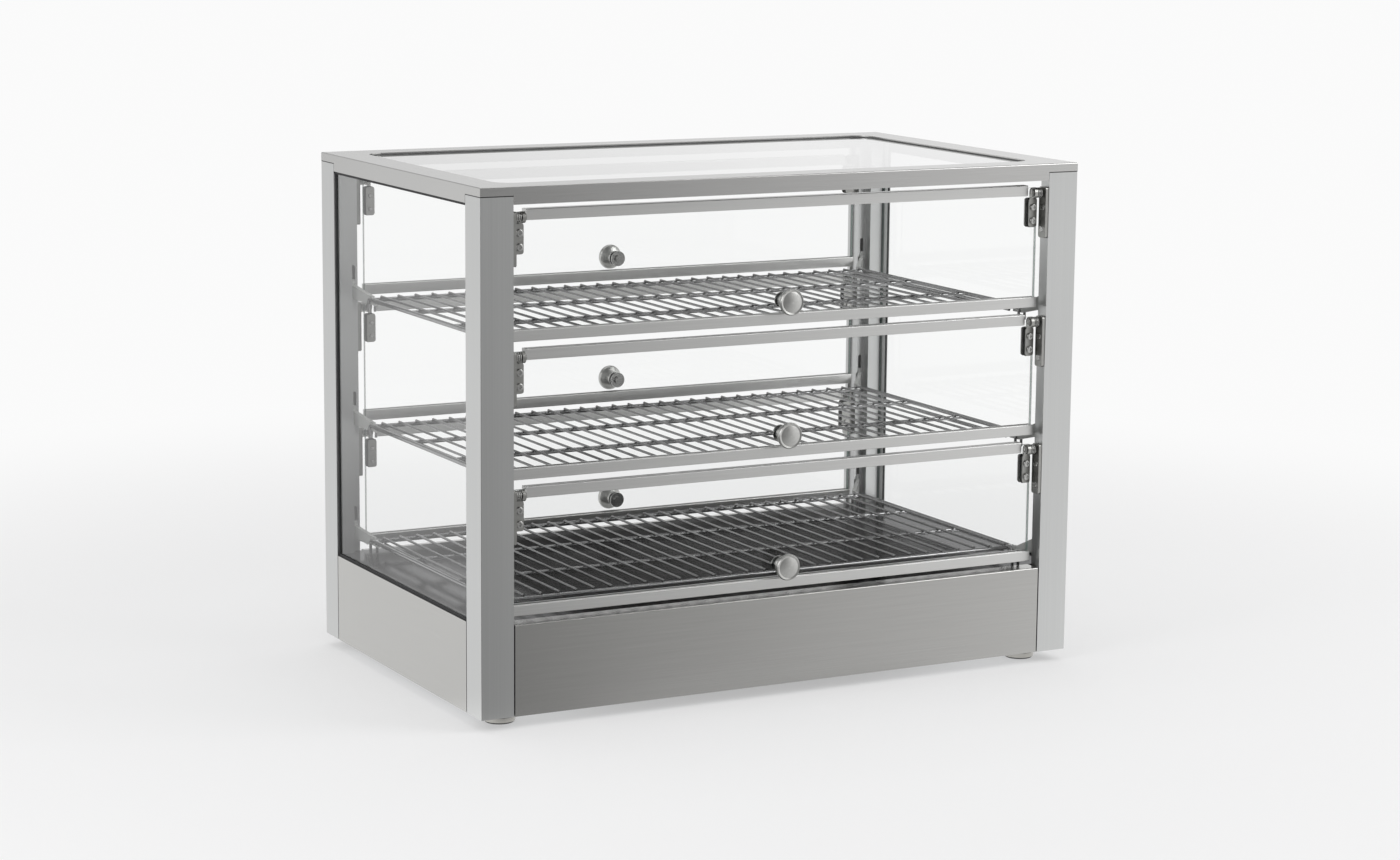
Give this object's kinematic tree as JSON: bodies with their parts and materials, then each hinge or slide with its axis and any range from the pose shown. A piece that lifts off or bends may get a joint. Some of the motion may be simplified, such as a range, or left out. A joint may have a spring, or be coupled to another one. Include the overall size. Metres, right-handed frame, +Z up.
{
  "type": "countertop food warmer display",
  "caption": "Countertop heated display cabinet with glass sides and top, sprung flap doors front and rear, lift-out wire shelves and a heated base.",
  "frame": {"origin": "on the table under the middle of the cabinet, level with the undersides of the feet", "axes": "+X along the width to the right, -Y out of the customer side, +Z up"},
  "size_m": [0.78, 0.4776, 0.61],
  "materials": {
    "post": "satin",
    "frame_steel": "satin",
    "base_steel": "brushed",
    "floor_steel": "polished",
    "galvanised": "plain",
    "glass": "clear",
    "seal": "matt",
    "shelf_wire": "bright",
    "arm": "matt grey",
    "hinge": "dark nickel",
    "spring": "bright",
    "screw": "bright",
    "rail": "satin",
    "knob": "satin",
    "heater": "dull",
    "control": "matt black",
    "rocker": "gloss red",
    "gland": "matt black",
    "foot": "turned"
  },
  "bodies": {
    "root": {"post_front_left": "post", "post_front_right": "post", "post_rear_left": "post", "post_rear_right": "post", "top_frame": "frame_steel", "top_glass": "glass", "glass_seals": "seal", "side_glass_left": "glass", "side_glass_right": "glass", "base_panel_front": "base_steel", "base_panel_rear": "base_steel", "base_panel_left": "base_steel", "base_panel_right": "base_steel", "floor_plate": "floor_steel", "bottom_plate": "galvanised", "shelf_supports": "arm", "hinge_brackets": "hinge", "hinge_pins": "screw", "hinge_springs": "spring", "bracket_screws": "screw", "heating_element": "heater", "thermostat": "control", "switch_housing": "control", "cable_gland": "gland", "feet": "foot"},
    "door_front_upper": {"door_front_upper_glass": "glass", "door_front_upper_rails": "rail", "door_front_upper_hinge_clamps": "hinge", "door_front_upper_fasteners": "screw", "door_front_upper_knob": "knob"},
    "door_front_middle": {"door_front_middle_glass": "glass", "door_front_middle_rails": "rail", "door_front_middle_hinge_clamps": "hinge", "door_front_middle_fasteners": "screw", "door_front_middle_knob": "knob"},
    "door_front_lower": {"door_front_lower_glass": "glass", "door_front_lower_rails": "rail", "door_front_lower_hinge_clamps": "hinge", "door_front_lower_fasteners": "screw", "door_front_lower_knob": "knob"},
    "door_rear_upper": {"door_rear_upper_glass": "glass", "door_rear_upper_rails": "rail", "door_rear_upper_hinge_clamps": "hinge", "door_rear_upper_fasteners": "screw", "door_rear_upper_knob": "knob"},
    "door_rear_middle": {"door_rear_middle_glass": "glass", "door_rear_middle_rails": "rail", "door_rear_middle_hinge_clamps": "hinge", "door_rear_middle_fasteners": "screw", "door_rear_middle_knob": "knob"},
    "door_rear_lower": {"door_rear_lower_glass": "glass", "door_rear_lower_rails": "rail", "door_rear_lower_hinge_clamps": "hinge", "door_rear_lower_fasteners": "screw", "door_rear_lower_knob": "knob"},
    "shelf_upper": {"shelf_upper": "shelf_wire"},
    "shelf_middle": {"shelf_middle": "shelf_wire"},
    "shelf_lower": {"shelf_lower": "shelf_wire"},
    "thermostat_knob": {"thermostat_knob": "control"},
    "switch_rocker": {"switch_rocker": "rocker"}
  },
  "joints": [
    {"name": "door_front_upper_hinge", "type": "hinge", "parent": "root", "child": "door_front_upper", "pos_m": [0, -0.225, 0.575], "axis": [-1, 0, 0], "range_deg": [0, 90], "stiffness_Nm_per_rad": 0.4, "springref_deg": -57.3},
    {"name": "door_front_middle_hinge", "type": "hinge", "parent": "root", "child": "door_front_middle", "pos_m": [0, -0.225, 0.4195], "axis": [-1, 0, 0], "range_deg": [0, 90], "stiffness_Nm_per_rad": 0.4, "springref_deg": -57.3},
    {"name": "door_front_lower_hinge", "type": "hinge", "parent": "root", "child": "door_front_lower", "pos_m": [0, -0.225, 0.264], "axis": [-1, 0, 0], "range_deg": [0, 90], "stiffness_Nm_per_rad": 0.4, "springref_deg": -57.3},
    {"name": "door_rear_upper_hinge", "type": "hinge", "parent": "root", "child": "door_rear_upper", "pos_m": [0, 0.225, 0.575], "axis": [1, 0, 0], "range_deg": [0, 90], "stiffness_Nm_per_rad": 0.4, "springref_deg": -57.3},
    {"name": "door_rear_middle_hinge", "type": "hinge", "parent": "root", "child": "door_rear_middle", "pos_m": [0, 0.225, 0.4195], "axis": [1, 0, 0], "range_deg": [0, 90], "stiffness_Nm_per_rad": 0.4, "springref_deg": -57.3},
    {"name": "door_rear_lower_hinge", "type": "hinge", "parent": "root", "child": "door_rear_lower", "pos_m": [0, 0.225, 0.264], "axis": [1, 0, 0], "range_deg": [0, 90], "stiffness_Nm_per_rad": 0.4, "springref_deg": -57.3},
    {"name": "shelf_upper_lift", "type": "slide", "parent": "root", "child": "shelf_upper", "axis": [0, 0, 1], "range_m": [0, 0.05]},
    {"name": "shelf_middle_lift", "type": "slide", "parent": "root", "child": "shelf_middle", "axis": [0, 0, 1], "range_m": [0, 0.05]},
    {"name": "shelf_lower_lift", "type": "slide", "parent": "root", "child": "shelf_lower", "axis": [0, 0, 1], "range_m": [0, 0.05]},
    {"name": "thermostat_turn", "type": "hinge", "parent": "root", "child": "thermostat_knob", "pos_m": [0.15, 0.22, 0.068], "axis": [0, -1, 0], "range_deg": [0, 270]},
    {"name": "switch_rock", "type": "hinge", "parent": "root", "child": "switch_rocker", "pos_m": [0.235, 0.2188, 0.068], "axis": [-1, 0, 0], "range_deg": [0, 18]}
  ]
}
